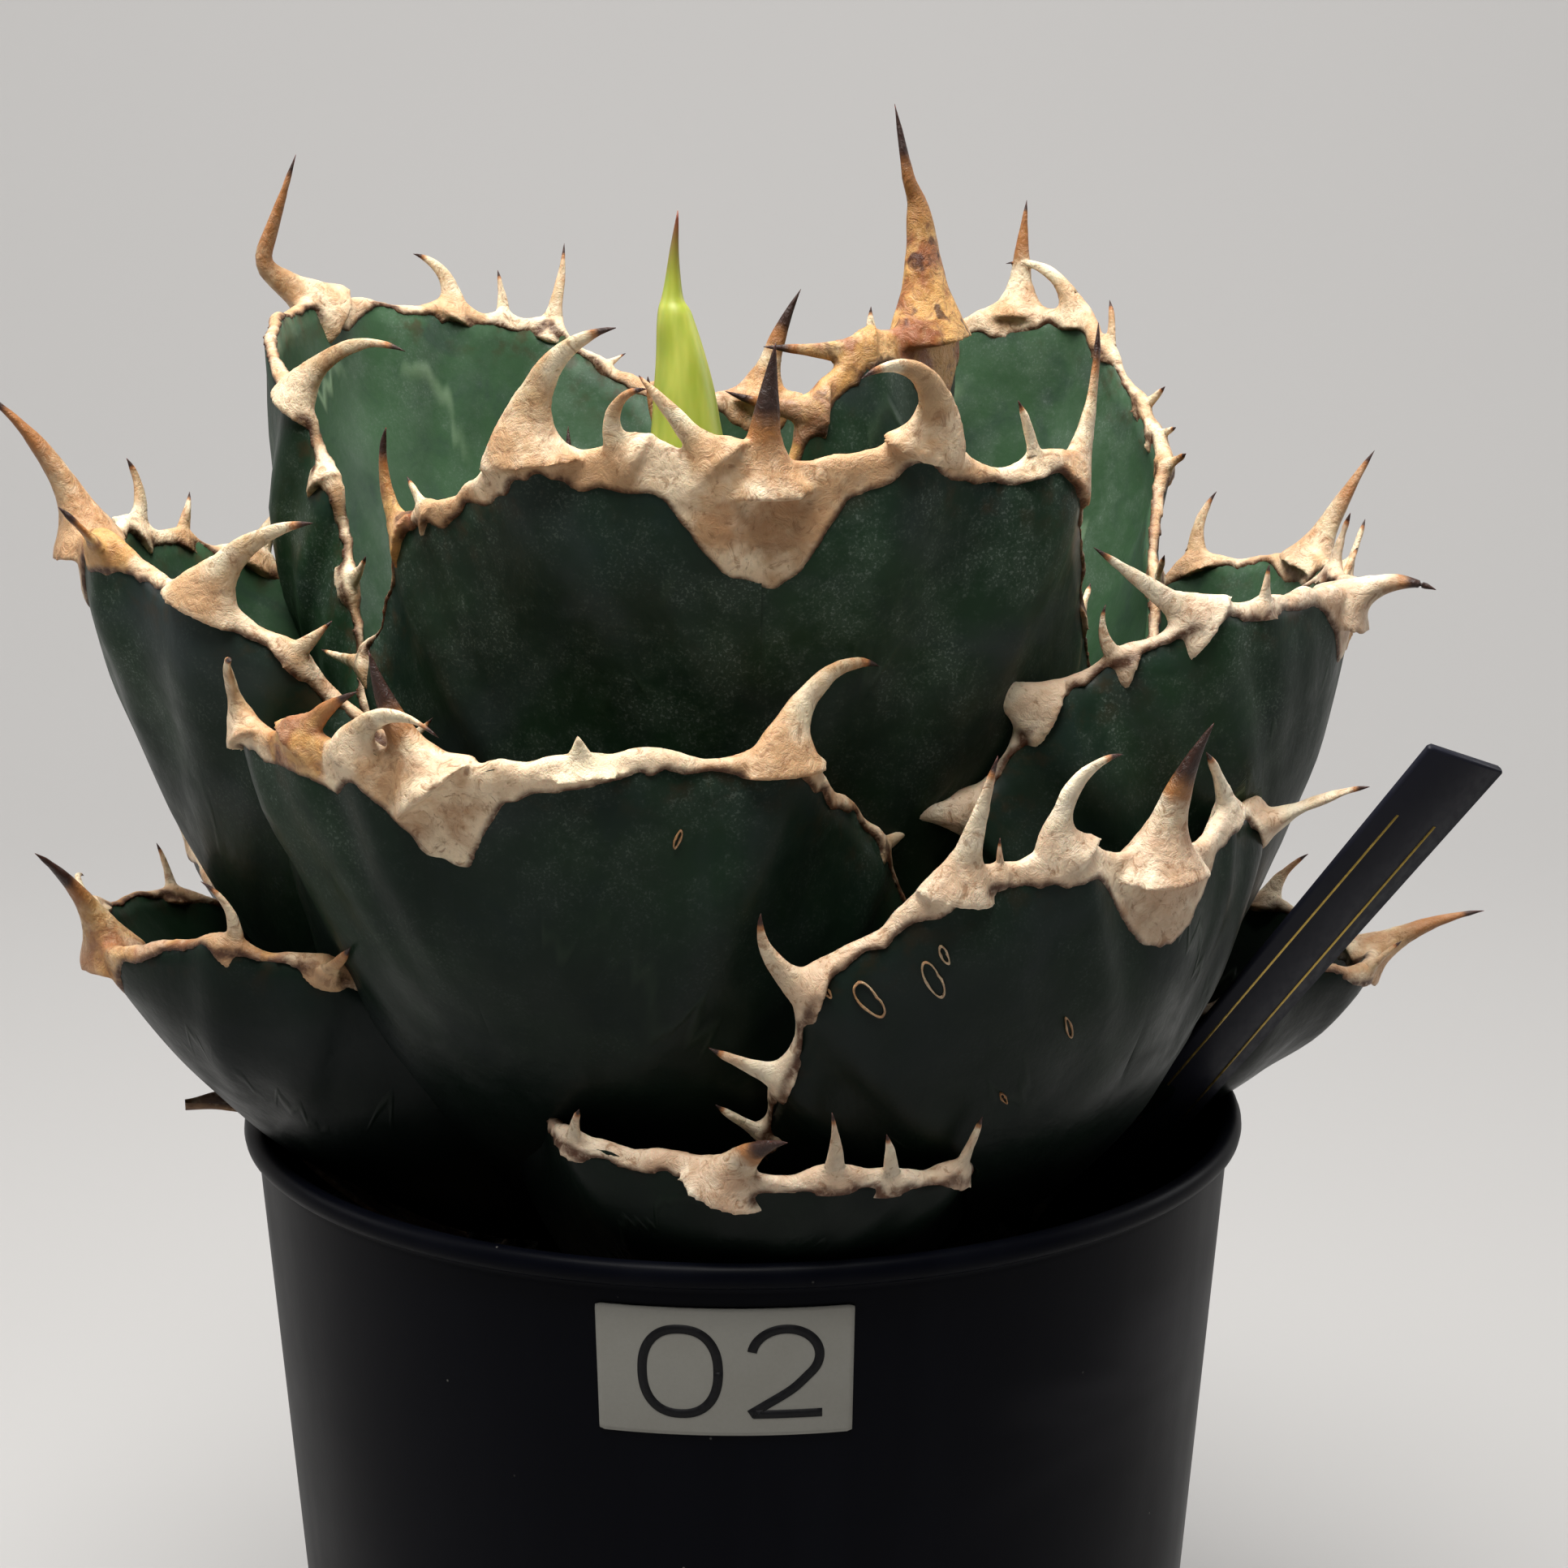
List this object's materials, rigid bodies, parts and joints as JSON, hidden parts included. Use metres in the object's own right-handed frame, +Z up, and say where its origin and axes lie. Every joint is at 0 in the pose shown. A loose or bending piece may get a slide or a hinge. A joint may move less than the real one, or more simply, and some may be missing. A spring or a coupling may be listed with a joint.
{
  "type": "potted succulent",
  "caption": "Rosette agave with thick cupped leaves, cork margins, curling teeth and long spines, in a round tapered nursery pot with a slanted plant label.",
  "frame": {"origin": "middle of the pot's flat underside", "axes": "+Z up along the pot's axis, -Y towards the picture's viewer, +X to the viewer's right"},
  "size_m": [0.1782, 0.1522, 0.2267],
  "materials": {
    "pot_plastic": "satin",
    "soil": "matte",
    "stem": "matte",
    "sticker": "matte",
    "label_plastic": "satin",
    "bud_green": "satin",
    "leaf_green": "satin",
    "cork": "matte",
    "dry_leaf": "matte"
  },
  "bodies": {
    "root": {"pot": "pot_plastic", "soil": "soil", "stem": "stem", "number_sticker": "sticker", "plant_label": "label_plastic", "leaf_bud": "bud_green", "dry_leaf": "dry_leaf", "leaf_inner_right": "leaf_green", "margin_inner_right": "cork", "leaf_inner_left": "leaf_green", "margin_inner_left": "cork", "leaf_inner_back": "leaf_green", "margin_inner_back": "cork", "leaf_front_upper": "leaf_green", "margin_front_upper": "cork", "leaf_back_left": "leaf_green", "margin_back_left": "cork", "leaf_back_right": "leaf_green", "margin_back_right": "cork", "leaf_mid_right": "leaf_green", "margin_mid_right": "cork", "leaf_left": "leaf_green", "margin_left": "cork", "leaf_right": "leaf_green", "margin_right": "cork", "leaf_back": "leaf_green", "margin_back": "cork", "leaf_front_left": "leaf_green", "margin_front_left": "cork", "leaf_front_right": "leaf_green", "margin_front_right": "cork", "leaf_low_left": "leaf_green", "margin_low_left": "cork", "leaf_low_right": "leaf_green", "margin_low_right": "cork", "leaf_low_back": "leaf_green", "margin_low_back": "cork", "leaf_low_back_left": "leaf_green", "margin_low_back_left": "cork", "leaf_low_front": "leaf_green", "margin_low_front": "cork"}
  },
  "joints": []
}
